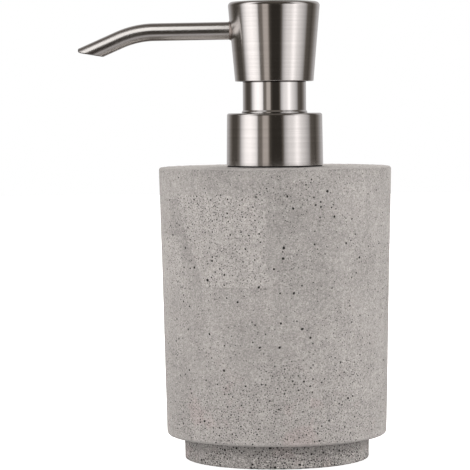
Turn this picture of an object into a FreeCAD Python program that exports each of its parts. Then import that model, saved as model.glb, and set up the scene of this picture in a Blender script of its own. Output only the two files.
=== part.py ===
import FreeCAD, Part
import math
import os
import re

import Sketcher

# Soap pump dispenser: a cast-concrete vessel with a recessed foot, a plastic liner bottle with a
# 28 mm screw neck, and a steel-clad pump whose head presses down, swivels and unscrews.
# Millimetres. Z is the dispenser's own axis, z = 0 is the surface that it stands on, and the
# spout points along -X.

# ---------------------------------------------------------------------------------------------
# Driving dimensions: lengths in mm, angles in degrees. "_rad" is a radius, "_z" a height.
# ---------------------------------------------------------------------------------------------
DIMENSIONS = {
    # concrete vessel
    "foot_low_rad": 31.8,
    "foot_top_rad": 32.0,
    "foot_top_z": 8.6,
    "body_low_rad": 38.0,
    "body_top_rad": 40.0,
    "body_top_z": 100.9,
    "cavity_rad": 29.5,
    "shoulder_z": 80.0,
    "shoulder_rise": 14.0,
    "neck_hole_rad": 14.6,
    "cast_gap": 0.3,
    "body_low_round": 1.3,
    "body_top_round": 0.9,
    "spigot_height": 4.4,
    # pad under the foot
    "pad_rad": 27.3,
    "pad_thick": 1.0,
    "pad_proud": 0.3,
    # liner bottle and its screw neck
    "bottle_wall": 1.2,
    "neck_rad": 12.6,
    "neck_bore_rad": 11.0,
    "lip_z": 110.9,
    "thread_pitch": 4.233,
    "thread_depth": 1.1,
    "thread_crest": 0.9,
    "thread_root": 2.0,
    "thread_turns": 1.25,
    "thread_low_z": 104.2,
    "thread_play": 0.2,
    # screw collar: washer, steel shell, plastic closure and polished sleeve
    "washer_thick": 0.5,
    "collar_low_rad": 16.65,
    "collar_top_rad": 16.4,
    "collar_top_z": 119.3,
    "collar_round": 0.8,
    "steel_wall": 0.6,
    "sleeve_rad": 10.9,
    "sleeve_wall": 0.5,
    "sleeve_flare": 0.4,
    "sleeve_top_z": 132.7,
    "closure_web_z": 116.0,
    # pump housing that hangs in the neck
    "running_gap": 0.05,
    "seat_gap": 0.02,
    "gasket_thick": 0.8,
    "flange_rad": 13.0,
    "flange_thick": 1.6,
    "barrel_rad": 7.8,
    "barrel_bore_rad": 6.8,
    "barrel_low_z": 84.0,
    "barrel_taper": 6.0,
    "socket_rad": 4.6,
    "socket_low_z": 64.0,
    "socket_deep": 8.0,
    "inlet_rad": 1.6,
    "inlet_long": 2.0,
    "ball_rad": 2.5,
    "chamber_rad": 3.4,
    "chamber_top_z": 80.0,
    "cage_top_z": 85.0,
    "cage_gap": 0.1,
    "cage_stop": 0.5,
    "cage_skirt": 1.0,
    "slot_in_rad": 1.3,
    "slot_out_rad": 3.0,
    "slot_half_wide": 0.6,
    "guide_rad": 9.6,
    "guide_plug": 1.3,
    "guide_rim": 3.0,
    "guide_wall": 1.5,
    "guide_top_z": 121.0,
    "dip_rad": 2.4,
    "dip_wall": 0.6,
    "dip_low_z": 17.0,
    # piston train
    "spring_rad": 4.6,
    "wire_rad": 0.45,
    "spring_turns": 7.0,
    "spring_top_z": 104.0,
    "rod_rad": 1.9,
    "rod_top_z": 120.0,
    "rod_foot_rad": 5.3,
    "rod_foot_thick": 1.2,
    "piston_bore_rad": 2.5,
    "piston_hub_tall": 4.3,
    "lip_wall": 0.8,
    "lip_relief": 0.3,
    "lip_tall": 0.9,
    "lip_taper": 0.7,
    "lip_root": 0.6,
    "lip_edge": 0.5,
    "web_low": 1.4,
    "web_thick": 1.2,
    "lost_motion": 1.0,
    "stem_rad": 4.0,
    "stem_bore_rad": 2.6,
    "stem_top_z": 143.0,
    # head
    "head_low_rad": 13.5,
    "head_top_rad": 15.9,
    "head_low_z": 130.2,
    "head_top_z": 157.5,
    "head_round": 1.4,
    "disc_rad": 13.0,
    "core_low_z": 143.8,
    "core_hub_rad": 7.5,
    "core_hub_low_z": 133.0,
    # spout
    "spout_rad": 3.05,
    "spout_wall": 0.5,
    "spout_root_x": 2.0,
    "spout_root_z": 147.8,
    "spout_bend_x": 41.1,
    "spout_droop": 0.6,
    "spout_fall": 23.7,
    "spout_bend_rad": 31.2,
    "spout_run": 17.0,
    "tip_x": 67.4,
    "tip_cut_x": 65.3,
    "tip_cut_z": 140.15,
    "tip_cut_angle": 9.8,
    "liner_rad": 2.45,
    "liner_wall": 0.6,
    "liner_setback": 0.5,
    "cut_reach": 12.0,
    "spout_hole_gap": 0.2,
    "shell_bore_deep": 5.0,
    "core_bore_short": 0.5,
    "bore_start": 1.0,
    "bead_reach": 0.9,
    "bead_tall": 0.65,
    "bead_sink": 0.9,
}

doc = FreeCAD.newDocument("soap_pump_dispenser")
sheet = doc.addObject("Spreadsheet::Sheet", "Sizes")
for row, (alias, value) in enumerate(DIMENSIONS.items(), start=1):
    sheet.set(f"A{row}", alias.replace("_", " "))
    sheet.set(f"B{row}", str(value))
    sheet.setAlias(f"B{row}", alias)
doc.recompute()

WORD = re.compile(r"[a-z_]\w*")
EPS = 1e-6
SAME_RING = 1e-3


def bound(text):
    """An expression in the sheet's terms: each alias gets the sheet's name before it."""
    return WORD.sub(lambda m: f"Sizes.{m[0]}" if m[0] in DIMENSIONS else m[0], text)


def number(text):
    """The value that an expression has now."""
    value = sheet.evalExpression(bound(text))
    return float(getattr(value, "Value", value))


# ---------------------------------------------------------------------------------------------
# Helpers: sketches bound to the sheet, and the features that this object repeats
# ---------------------------------------------------------------------------------------------
def new_body(label):
    body = doc.addObject("PartDesign::Body", label)
    body.Label = label
    body.Placement = FreeCAD.Placement()
    return body


def sketch_on(body, name, role):
    """A sketch on one of the body's own origin planes. On XZ_Plane, sketch x is X and y is Z."""
    sketch = body.newObject("Sketcher::SketchObject", name)
    plane = next(item for item in body.Origin.OriginFeatures if item.Role == role)
    sketch.AttachmentSupport = (plane, [""])
    sketch.MapMode = "FlatFace"
    return sketch


def pin_point(sketch, edge, end, x_text, y_text):
    """Hold one point of the sketch at (x, y), both bound to the sheet."""
    for kind, text, axis in (("DistanceX", x_text, -2), ("DistanceY", y_text, -1)):
        value = number(text)
        if abs(value) < EPS:
            sketch.addConstraint(Sketcher.Constraint("PointOnObject", edge, end, axis))
        else:
            index = sketch.addConstraint(Sketcher.Constraint(kind, -1, 1, edge, end, value))
            sketch.setExpression(f"Constraints[{index}]", bound(text))


def draw_outline(sketch, points):
    """A closed outline of straight edges through points given as pairs of expressions."""
    spots = [FreeCAD.Vector(number(x), number(y), 0) for x, y in points]
    count = len(points)
    for i in range(count):
        sketch.addGeometry(Part.LineSegment(spots[i], spots[(i + 1) % count]), False)
    for i in range(count):
        sketch.addConstraint(Sketcher.Constraint("Coincident", i, 2, (i + 1) % count, 1))
    for i, (x_text, y_text) in enumerate(points):
        pin_point(sketch, i, 1, x_text, y_text)


def draw_circle(sketch, x_text, y_text, rad_text):
    """A circle whose centre and radius are bound to the sheet."""
    centre = FreeCAD.Vector(number(x_text), number(y_text), 0)
    edge = sketch.addGeometry(Part.Circle(centre, FreeCAD.Vector(0, 0, 1), number(rad_text)), False)
    pin_point(sketch, edge, 3, x_text, y_text)
    index = sketch.addConstraint(Sketcher.Constraint("Radius", edge, number(rad_text)))
    sketch.setExpression(f"Constraints[{index}]", bound(rad_text))


def revolve(body, name, points, kind="PartDesign::Revolution"):
    """Turn an outline in the XZ plane a full turn about Z."""
    sketch = sketch_on(body, f"{name}_outline", "XZ_Plane")
    draw_outline(sketch, points)
    turn = body.newObject(kind, name)
    turn.Profile = sketch
    turn.ReferenceAxis = (sketch, ["V_Axis"])
    turn.Angle = 360
    doc.recompute()
    return turn


def turned(label, points):
    """A sub-part that is one turned form."""
    body = new_body(label)
    revolve(body, f"{label}_form", points)
    return body


def round_rings(body, rings, radius, kind="PartDesign::Fillet"):
    """Round or chamfer the circular edges at the given (radius, height) pairs."""
    doc.recompute()
    base = body.Tip
    names = []
    for index, edge in enumerate(base.Shape.Edges, start=1):
        curve = edge.Curve
        if not isinstance(curve, Part.Circle):
            continue
        for ring_rad, ring_z in rings:
            same_rad = abs(curve.Radius - number(ring_rad)) < SAME_RING
            if same_rad and abs(curve.Center.z - number(ring_z)) < SAME_RING:
                names.append(f"Edge{index}")
    if len(names) != len(rings):
        raise RuntimeError(f"{body.Label}: found {len(names)} of {len(rings)} edges to round")
    dress = body.newObject(kind, f"{body.Label}_edges_{len(body.Group)}")
    dress.Base = (base, names)
    dress.setExpression("Size" if kind.endswith("Chamfer") else "Radius", bound(radius))
    doc.recompute()
    return dress


def helix(body, name, draw, pitch, turns):
    """Sweep what draw() sketches in the XZ plane along a right-hand helix about Z."""
    sketch = sketch_on(body, f"{name}_section", "XZ_Plane")
    draw(sketch)
    coil = body.newObject("PartDesign::AdditiveHelix", name)
    coil.Profile = sketch
    coil.ReferenceAxis = (sketch, ["V_Axis"])
    coil.Mode = "pitch-turns-angle"
    coil.setExpression("Pitch", bound(pitch))
    coil.setExpression("Turns", bound(turns))
    doc.recompute()
    return coil


def cut_changes(body, feature, what):
    """Stop if a cutting feature took nothing away."""
    before = feature.BaseFeature.Shape.Volume
    if feature.Shape.Volume > before - EPS:
        raise RuntimeError(f"{body.Label}: {what} cuts nothing")


# ---------------------------------------------------------------------------------------------
# Vessel
# ---------------------------------------------------------------------------------------------
def concrete_body():
    """Cast shell, open below for its mould core, with a hole for the bottle's neck above."""
    shell = turned("concrete_body", [
        ("cavity_rad", "foot_top_z"),
        ("body_low_rad", "foot_top_z"),
        ("body_top_rad", "body_top_z"),
        ("neck_hole_rad", "body_top_z"),
        ("neck_hole_rad", "shoulder_z + shoulder_rise"),
        ("cavity_rad", "shoulder_z"),
    ])
    round_rings(shell, [("body_low_rad", "foot_top_z")], "body_low_round")
    round_rings(shell, [("body_top_rad", "body_top_z")], "body_top_round")
    round_rings(shell, [("neck_hole_rad", "body_top_z")], "cast_gap")


def concrete_base():
    """Cast foot with a spigot that closes the shell, and a shallow seat for the pad below."""
    foot = turned("concrete_base", [
        ("0", "pad_thick"),
        ("pad_rad + cast_gap", "pad_thick"),
        ("pad_rad + cast_gap", "pad_proud"),
        ("foot_low_rad", "pad_proud"),
        ("foot_top_rad", "foot_top_z"),
        ("cavity_rad - cast_gap", "foot_top_z"),
        ("cavity_rad - cast_gap", "foot_top_z + spigot_height"),
        ("0", "foot_top_z + spigot_height"),
    ])
    round_rings(foot, [("foot_low_rad", "pad_proud")], "2 * cast_gap")


def foot_pad():
    turned("foot_pad", [("0", "0"), ("pad_rad", "0"), ("pad_rad", "pad_thick"), ("0", "pad_thick")])


def neck_washer():
    turned("neck_washer", [
        ("neck_hole_rad + cast_gap", "body_top_z"),
        ("collar_low_rad - cast_gap", "body_top_z"),
        ("collar_low_rad - cast_gap", "body_top_z + washer_thick"),
        ("neck_hole_rad + cast_gap", "body_top_z + washer_thick"),
    ])


def inner_bottle():
    """Blow-moulded liner: straight wall, 45 degree shoulder, and a neck with one start of thread."""
    slope = "shoulder_rise / (cavity_rad - neck_hole_rad)"
    outer = "cavity_rad - cast_gap"
    inner = "cavity_rad - cast_gap - bottle_wall"
    floor = "foot_top_z + spigot_height + cast_gap"
    bend = "shoulder_z - cast_gap"
    drop = f"bottle_wall * sqrt(1 + ({slope}) * ({slope}))"
    bottle = turned("inner_bottle", [
        ("0", floor),
        (outer, floor),
        (outer, bend),
        ("neck_rad", f"{bend} + ({outer} - neck_rad) * {slope}"),
        ("neck_rad", "lip_z"),
        ("neck_bore_rad", "lip_z"),
        ("neck_bore_rad", f"{bend} + ({outer} - neck_bore_rad) * {slope} - {drop}"),
        (inner, f"{bend} + bottle_wall * {slope} - {drop}"),
        (inner, f"{floor} + bottle_wall"),
        ("0", f"{floor} + bottle_wall"),
    ])
    round_rings(bottle, [(outer, floor)], "2 * bottle_wall")

    half_root = "(thread_root / 2 + cast_gap * (thread_root - thread_crest) / thread_depth / 2)"

    def ridge(sketch):
        draw_outline(sketch, [
            ("neck_rad - cast_gap", f"thread_low_z - {half_root}"),
            ("neck_rad + thread_depth", "thread_low_z - thread_crest / 2"),
            ("neck_rad + thread_depth", "thread_low_z + thread_crest / 2"),
            ("neck_rad - cast_gap", f"thread_low_z + {half_root}"),
        ])

    helix(bottle, "neck_thread", ridge, "thread_pitch", "thread_turns")


# ---------------------------------------------------------------------------------------------
# Screw collar
# ---------------------------------------------------------------------------------------------
def collar_shell():
    """Drawn steel skirt with a hole in its top for the sleeve."""
    low = "body_top_z + washer_thick"
    hole = "sleeve_rad + sleeve_flare + running_gap"
    shell = turned("collar_shell", [
        ("collar_low_rad - steel_wall", low),
        ("collar_low_rad", low),
        ("collar_top_rad", "collar_top_z"),
        (hole, "collar_top_z"),
        (hole, "collar_top_z - steel_wall"),
        ("collar_top_rad - steel_wall", "collar_top_z - steel_wall"),
    ])
    round_rings(shell, [("collar_top_rad", "collar_top_z")], "collar_round")


def closure_cap():
    """Moulded screw closure inside the skirt. Its web clamps the pump's flange on the lip."""
    low = "body_top_z + washer_thick + cast_gap"
    bore = "neck_rad + thread_depth + thread_play"
    top = "collar_top_z - steel_wall - running_gap"
    seat = "sleeve_rad + 2 * sleeve_flare + steel_wall"
    cap = turned("closure_cap", [
        (bore, low),
        ("collar_low_rad - steel_wall - running_gap", low),
        ("collar_top_rad - steel_wall - running_gap", top),
        (f"{seat} + running_gap", top),
        (f"{seat} + running_gap", "closure_web_z"),
        ("guide_rad + thread_play", "closure_web_z"),
        ("guide_rad + thread_play", "lip_z + gasket_thick + flange_thick + running_gap"),
        (bore, "lip_z + gasket_thick + flange_thick + running_gap"),
    ])

    def ridge(sketch):
        mid = "thread_low_z - thread_pitch / 2"
        tip = "neck_rad + thread_play"
        draw_outline(sketch, [
            (tip, f"{mid} - thread_crest / 2"),
            (f"{bore} + cast_gap", f"{mid} - thread_root / 2"),
            (f"{bore} + cast_gap", f"{mid} + thread_root / 2"),
            (tip, f"{mid} + thread_crest / 2"),
        ])

    helix(cap, "cap_thread", ridge, "thread_pitch", "thread_turns")


def sleeve():
    """Polished tube that the head slides over, with a flange held under the collar's skirt."""
    outer = "sleeve_rad + 2 * sleeve_flare + steel_wall"
    bore = "sleeve_rad - sleeve_wall"
    tube = turned("sleeve", [
        (bore, "closure_web_z"),
        (outer, "closure_web_z"),
        (outer, "closure_web_z + sleeve_wall"),
        ("sleeve_rad + sleeve_flare", "closure_web_z + sleeve_wall"),
        ("sleeve_rad + sleeve_flare", "collar_top_z + sleeve_flare"),
        ("sleeve_rad", "collar_top_z + 2.5 * sleeve_flare"),
        ("sleeve_rad", "sleeve_top_z"),
        (bore, "sleeve_top_z"),
    ])
    round_rings(tube, [("sleeve_rad", "sleeve_top_z")], "sleeve_wall / 3")


# ---------------------------------------------------------------------------------------------
# Pump frame: what hangs in the neck and rises only with the collar
# ---------------------------------------------------------------------------------------------
def pump_housing():
    """Barrel with a flange on the bottle's lip, a ball seat, and a socket for the dip tube."""
    flange_low = "lip_z + gasket_thick"
    flange_top = "lip_z + gasket_thick + flange_thick"
    slope_low = "barrel_low_z - barrel_taper"
    turned("pump_housing", [
        ("flange_rad", flange_top),
        ("flange_rad", flange_low),
        ("barrel_rad", flange_low),
        ("barrel_rad", "barrel_low_z"),
        ("socket_rad", slope_low),
        ("socket_rad", "socket_low_z"),
        ("dip_rad + running_gap", "socket_low_z"),
        ("dip_rad + running_gap", "socket_low_z + socket_deep"),
        ("inlet_rad", "socket_low_z + socket_deep"),
        ("inlet_rad", "socket_low_z + socket_deep + inlet_long"),
        ("chamber_rad", "socket_low_z + socket_deep + inlet_long + chamber_rad - inlet_rad"),
        ("chamber_rad", "chamber_top_z"),
        ("barrel_bore_rad", "chamber_top_z + barrel_bore_rad - chamber_rad"),
        ("barrel_bore_rad", flange_top),
    ])


def housing_gasket():
    turned("housing_gasket", [
        ("neck_bore_rad", "lip_z"),
        ("flange_rad", "lip_z"),
        ("flange_rad", "lip_z + gasket_thick"),
        ("neck_bore_rad", "lip_z + gasket_thick"),
    ])


def stem_guide():
    """Snap-in ring that closes the barrel, stops the piston and guides the stem."""
    flange_top = "lip_z + gasket_thick + flange_thick"
    turned("stem_guide", [
        ("stem_rad + running_gap", f"{flange_top} - guide_plug"),
        ("barrel_bore_rad - running_gap", f"{flange_top} - guide_plug"),
        ("barrel_bore_rad - running_gap", flange_top),
        ("guide_rad", flange_top),
        ("guide_rad", f"{flange_top} + guide_rim"),
        ("stem_rad + guide_wall", f"{flange_top} + guide_rim + guide_wall"),
        ("stem_rad + guide_wall", "guide_top_z"),
        ("stem_rad + running_gap", "guide_top_z"),
    ])


def ball_cage():
    """Insert that the spring stands on. It stops the ball, and liquid passes by three slots."""
    stop_rad = "ball_rad - cage_stop"
    cone = "chamber_top_z + cage_gap"
    cage = turned("ball_cage", [
        (stop_rad, "chamber_top_z - cage_skirt"),
        ("chamber_rad - cage_gap", "chamber_top_z - cage_skirt"),
        ("chamber_rad - cage_gap", cone),
        ("barrel_bore_rad - cage_gap", f"{cone} + barrel_bore_rad - chamber_rad"),
        ("barrel_bore_rad - cage_gap", "cage_top_z"),
        (stop_rad, "cage_top_z"),
    ])
    plan = sketch_on(cage, "slot_plan", "XY_Plane")
    draw_outline(plan, [
        ("slot_in_rad", "-slot_half_wide"),
        ("slot_out_rad", "-slot_half_wide"),
        ("slot_out_rad", "slot_half_wide"),
        ("slot_in_rad", "slot_half_wide"),
    ])
    slot = cage.newObject("PartDesign::Pocket", "flow_slot")
    slot.Profile = plan
    slot.Type = "Length"
    slot.Reversed = True
    slot.setExpression("Length", bound("cage_top_z + cage_skirt"))
    doc.recompute()
    cut_changes(cage, slot, "flow slot")
    ring = cage.newObject("PartDesign::PolarPattern", "flow_slots")
    ring.Originals = [slot]
    ring.Axis = (plan, ["N_Axis"])
    ring.Angle = 360
    ring.Occurrences = 3
    cage.Tip = ring
    doc.recompute()


def return_spring():
    """Seven open turns of round wire between the cage and the valve rod's foot."""
    coil = new_body("return_spring")
    helix(
        coil,
        "spring_wire",
        lambda sketch: draw_circle(sketch, "spring_rad", "cage_top_z + wire_rad", "wire_rad"),
        "(spring_top_z - cage_top_z - 2 * wire_rad) / spring_turns",
        "spring_turns",
    )


def dip_tube():
    top = "socket_low_z + socket_deep - cast_gap"
    turned("dip_tube", [
        ("dip_rad - dip_wall", "dip_low_z"),
        ("dip_rad", "dip_low_z"),
        ("dip_rad", top),
        ("dip_rad - dip_wall", top),
    ])


def inlet_ball():
    """Steel ball just clear of its 45 degree seat."""
    ball = doc.addObject("Part::Sphere", "inlet_ball")
    ball.Label = "inlet_ball"
    ball.setExpression("Radius", bound("ball_rad"))
    height = "socket_low_z + socket_deep + inlet_long - inlet_rad + ball_rad * sqrt(2) + seat_gap"
    ball.Placement = FreeCAD.Placement(FreeCAD.Vector(0, 0, number(height)), FreeCAD.Rotation())
    ball.setExpression("Placement.Base.z", bound(height))


# ---------------------------------------------------------------------------------------------
# Plunger and piston
# ---------------------------------------------------------------------------------------------
def valve_rod():
    """Rod whose foot sits on the spring and shuts the piston's bore from below."""
    rod = turned("valve_rod", [
        ("0", "spring_top_z"),
        ("rod_foot_rad", "spring_top_z"),
        ("rod_foot_rad", "spring_top_z + rod_foot_thick"),
        ("rod_rad", "spring_top_z + rod_foot_thick"),
        ("rod_rad", "rod_top_z"),
        ("0", "rod_top_z"),
    ])
    round_rings(rod, [("rod_rad", "rod_top_z")], "wire_rad", "PartDesign::Chamfer")


def piston():
    """Double-lipped ring that rubs on the barrel and floats on the valve rod."""
    low = "spring_top_z + rod_foot_thick"
    lip = "barrel_bore_rad - running_gap"
    hub_top = f"{low} + piston_hub_tall"
    turned("piston", [
        ("piston_bore_rad", low),
        ("stem_rad", low),
        ("stem_rad", f"{low} + web_low"),
        (f"{lip} - lip_wall", f"{low} + web_low"),
        (lip, low),
        (lip, f"{low} + lip_tall"),
        (f"{lip} - lip_relief", f"{low} + lip_tall + lip_taper"),
        (f"{lip} - lip_relief", f"{hub_top} - lip_root"),
        (lip, f"{hub_top} + lip_tall - lip_edge"),
        (lip, f"{hub_top} + lip_tall"),
        (f"{lip} - lip_wall", f"{hub_top} - lip_root"),
        (f"{lip} - lip_wall", f"{low} + web_low + web_thick"),
        ("stem_rad", f"{low} + web_low + web_thick"),
        ("stem_rad", hub_top),
        ("piston_bore_rad", hub_top),
    ])


# ---------------------------------------------------------------------------------------------
# Head: what swivels with the spout
# ---------------------------------------------------------------------------------------------
def stem():
    low = "spring_top_z + rod_foot_thick + piston_hub_tall + lost_motion"
    turned("stem", [
        ("stem_bore_rad", f"{low} + running_gap"),
        ("stem_rad", f"{low} + running_gap"),
        ("stem_rad", "stem_top_z"),
        ("stem_bore_rad", "stem_top_z"),
    ])


def spout_axis_z(x_text):
    """Height of the spout's straight run where it is x_text out from the dispenser's axis."""
    return f"spout_root_z - ({x_text} - spout_root_x) * tan(spout_droop)"


def head_radius(z_text, inset="0"):
    """Radius of the head's tapered side at a height, less an inset."""
    taper = "(head_top_rad - head_low_rad) / (head_top_z - head_low_z)"
    return f"head_low_rad + ({z_text} - head_low_z) * {taper} - {inset}"


def bore_for_spout(body, depth_text):
    """Cut a radial hole on the -X side: its circle is drawn on YZ, moved out beyond the head."""
    reach = "head_top_rad + bore_start"
    sketch = sketch_on(body, f"{body.Label}_bore_ring", "YZ_Plane")
    sketch.AttachmentOffset = FreeCAD.Placement(
        FreeCAD.Vector(0, 0, -number(reach)), FreeCAD.Rotation())
    sketch.setExpression("AttachmentOffset.Base.z", bound(f"-({reach})"))
    middle_z = spout_axis_z("(head_low_rad + spout_root_x) / 2")
    draw_circle(sketch, "0", middle_z, "spout_rad + spout_hole_gap")
    hole = body.newObject("PartDesign::Pocket", f"{body.Label}_spout_bore")
    hole.Profile = sketch
    hole.Type = "Length"
    hole.Reversed = True
    hole.setExpression("Length", bound(depth_text))
    doc.recompute()
    if hole.Shape.Volume > hole.BaseFeature.Shape.Volume - EPS:
        hole.Reversed = False
        doc.recompute()
    cut_changes(body, hole, "spout bore")


def head_shell():
    """Turned steel skirt, wider above, with both rims rounded and a hole for the spout."""
    wall = "steel_wall"
    shell = turned("head_shell", [
        (f"head_low_rad - {wall}", "head_low_z"),
        ("head_low_rad", "head_low_z"),
        ("head_top_rad", "head_top_z"),
        ("disc_rad", "head_top_z"),
        ("disc_rad", f"head_top_z - {wall}"),
        (head_radius(f"(head_top_z - {wall})", wall), f"head_top_z - {wall}"),
    ])
    round_rings(shell, [("head_top_rad", "head_top_z")], "head_round")
    round_rings(shell, [("head_low_rad", "head_low_z")], "steel_wall / 2")
    inner_rim = (head_radius(f"(head_top_z - {wall})", wall), f"head_top_z - {wall}")
    round_rings(shell, [inner_rim], "head_round - steel_wall")
    bore_for_spout(shell, "shell_bore_deep")


def head_top_disc():
    turned("head_top_disc", [
        ("0", "head_top_z - steel_wall"),
        ("disc_rad - running_gap", "head_top_z - steel_wall"),
        ("disc_rad - running_gap", "head_top_z"),
        ("0", "head_top_z"),
    ])


def head_core():
    """Moulded core: fills the head, grips the stem and turns the flow into the spout."""
    wall = "(steel_wall + running_gap)"
    top = "(head_top_z - steel_wall - head_round / 2)"
    core = turned("head_core", [
        ("0", top),
        (f"{head_radius(top, wall)} - head_round / 2", top),
        (head_radius("(head_top_z - 2 * head_round)", wall), "head_top_z - 2 * head_round"),
        (head_radius("core_low_z", wall), "core_low_z"),
        ("core_hub_rad", "core_low_z"),
        ("core_hub_rad", "core_hub_low_z"),
        ("stem_rad", "core_hub_low_z"),
        ("stem_rad", "stem_top_z"),
        ("stem_bore_rad", "stem_top_z"),
        ("stem_bore_rad", f"{spout_axis_z('spout_root_x')} + spout_rad"),
        ("0", f"{spout_axis_z('spout_root_x')} + spout_rad"),
    ])
    bore_for_spout(core, "head_top_rad + bore_start - core_bore_short")


def spout_path(body):
    """Centre line in the XZ plane: straight run, one tangent bend, straight run down."""
    bend_z = spout_axis_z("spout_bend_x")
    end_x = "spout_bend_x + spout_bend_rad * (sin(spout_fall) - sin(spout_droop))"
    end_z = f"{bend_z} - spout_bend_rad * (cos(spout_droop) - cos(spout_fall))"
    stops = [
        ("-spout_root_x", "spout_root_z"),
        ("-spout_bend_x", bend_z),
        (f"-({end_x})", end_z),
        (f"-({end_x} + spout_run * cos(spout_fall))", f"{end_z} - spout_run * sin(spout_fall)"),
    ]
    root, bend, end, last = (FreeCAD.Vector(number(x), number(z), 0) for x, z in stops)
    droop = math.radians(number("spout_droop"))
    fall = math.radians(number("spout_fall"))
    radius = number("spout_bend_rad")
    centre = bend + FreeCAD.Vector(math.sin(droop), -math.cos(droop), 0) * radius
    circle = Part.Circle(centre, FreeCAD.Vector(0, 0, 1), radius)
    path = sketch_on(body, f"{body.Label}_path", "XZ_Plane")
    path.addGeometry(Part.LineSegment(root, bend), False)
    path.addGeometry(Part.ArcOfCircle(circle, math.pi / 2 + droop, math.pi / 2 + fall), False)
    path.addGeometry(Part.LineSegment(end, last), False)
    path.addConstraint(Sketcher.Constraint("Coincident", 0, 2, 1, 1))
    path.addConstraint(Sketcher.Constraint("Coincident", 1, 2, 2, 1))
    for edge, point, stop in ((0, 1, 0), (0, 2, 1), (2, 1, 2), (2, 2, 3)):
        pin_point(path, edge, point, *stops[stop])
    index = path.addConstraint(Sketcher.Constraint("Radius", 1, radius))
    path.setExpression(f"Constraints[{index}]", bound("spout_bend_rad"))
    doc.recompute()
    return path


def bent_tube(label, outer_rad, wall, setback):
    """A tube along the spout's path, with its tip cut oblique and its very end blunted."""
    tube = new_body(label)
    path = spout_path(tube)
    ring = sketch_on(tube, f"{label}_section", "YZ_Plane")
    ring.AttachmentOffset = FreeCAD.Placement(
        FreeCAD.Vector(0, 0, -number("spout_root_x")), FreeCAD.Rotation())
    ring.setExpression("AttachmentOffset.Base.z", bound("-spout_root_x"))
    draw_circle(ring, "0", "spout_root_z", outer_rad)
    draw_circle(ring, "0", "spout_root_z", f"{outer_rad} - {wall}")
    doc.recompute()
    sweep = tube.newObject("PartDesign::AdditivePipe", f"{label}_sweep")
    sweep.Profile = ring
    sweep.Spine = (path, [f"Edge{i}" for i in range(1, len(path.Shape.Edges) + 1)])
    doc.recompute()
    cut = sketch_on(tube, f"{label}_cut", "XZ_Plane")
    slope = "tan(tip_cut_angle)"
    blunt_x = f"tip_x - {setback}"

    def on_cut(x_text):
        return f"tip_cut_z + {setback} + (({x_text}) - tip_cut_x) * {slope}"

    draw_outline(cut, [
        ("-(spout_bend_x + cut_reach)", on_cut("spout_bend_x + cut_reach")),
        (f"-({blunt_x})", on_cut(blunt_x)),
        (f"-({blunt_x})", "tip_cut_z + cut_reach"),
        ("-(tip_x + cut_reach)", "tip_cut_z + cut_reach"),
        ("-(tip_x + cut_reach)", "tip_cut_z - cut_reach"),
        ("-(spout_bend_x + cut_reach)", "tip_cut_z - cut_reach"),
    ])
    trim = tube.newObject("PartDesign::Pocket", f"{label}_trim")
    trim.Profile = cut
    trim.Type = "Length"
    trim.Midplane = True
    trim.setExpression("Length", bound("6 * spout_rad"))
    doc.recompute()
    cut_changes(tube, trim, "tip cut")


def spout_weld():
    """Fillet bead round the spout, hollowed by the head's tapered side that it lies on."""
    bead = new_body("spout_weld")
    mid_z = spout_axis_z("head_top_rad")
    plan = sketch_on(bead, "bead_outline", "XZ_Plane")
    root = "(head_low_rad + head_top_rad) / 2 - bead_sink"
    face = head_radius("spout_root_z")
    draw_outline(plan, [
        (f"-({root})", f"{mid_z} + spout_rad + seat_gap"),
        (f"-({root})", f"{mid_z} + spout_rad + bead_tall"),
        (f"-({face} + bead_reach / 4)", f"{mid_z} + spout_rad + bead_tall"),
        (f"-({face} + bead_reach)", f"{mid_z} + spout_rad + seat_gap"),
    ])
    axis = sketch_on(bead, "bead_axis", "XZ_Plane")
    start = FreeCAD.Vector(-number(root), number(mid_z), 0)
    finish = FreeCAD.Vector(-number("head_top_rad + bead_reach"), number(mid_z), 0)
    axis.addGeometry(Part.LineSegment(start, finish), False)
    pin_point(axis, 0, 1, f"-({root})", mid_z)
    pin_point(axis, 0, 2, "-(head_top_rad + bead_reach)", mid_z)
    doc.recompute()
    ring = bead.newObject("PartDesign::Revolution", "bead_ring")
    ring.Profile = plan
    ring.ReferenceAxis = (axis, ["Edge1"])
    ring.Angle = 360
    doc.recompute()
    hollow = revolve(bead, "bead_hollow", [
        ("0", "head_low_z"),
        ("head_low_rad", "head_low_z"),
        ("head_top_rad", "head_top_z"),
        ("0", "head_top_z"),
    ], "PartDesign::Groove")
    cut_changes(bead, hollow, "hollow for the head")


# ---------------------------------------------------------------------------------------------
# Build, check and write
# ---------------------------------------------------------------------------------------------
def build():
    concrete_body()
    concrete_base()
    foot_pad()
    neck_washer()
    inner_bottle()
    collar_shell()
    closure_cap()
    sleeve()
    pump_housing()
    housing_gasket()
    stem_guide()
    ball_cage()
    return_spring()
    dip_tube()
    inlet_ball()
    valve_rod()
    piston()
    stem()
    head_shell()
    head_top_disc()
    head_core()
    bent_tube("spout_tube", "spout_rad", "spout_wall", "0")
    bent_tube("spout_liner", "liner_rad", "liner_wall", "liner_setback")
    spout_weld()
    doc.recompute()


def sub_parts():
    kinds = ("PartDesign::Body", "Part::Sphere")
    return [item for item in doc.Objects if item.TypeId in kinds]


def check():
    for item in doc.Objects:
        if "Invalid" in item.State or "Error" in item.State:
            raise RuntimeError(f"{item.Name} failed: {item.State}")
    for item in sub_parts():
        if item.Shape.isNull() or not item.Shape.isValid():
            raise RuntimeError(f"{item.Label} has no valid shape")
        if len(item.Shape.Solids) != 1:
            raise RuntimeError(f"{item.Label} is {len(item.Shape.Solids)} solids")


build()
check()
os.makedirs("parts", exist_ok=True)
for item in sub_parts():
    item.Shape.exportStep(os.path.join("parts", f"{item.Label}.step"))
    print(f"{item.Label}: {item.Shape.Volume / 1000:.3f} cm3")
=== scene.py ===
import math
import random

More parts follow.
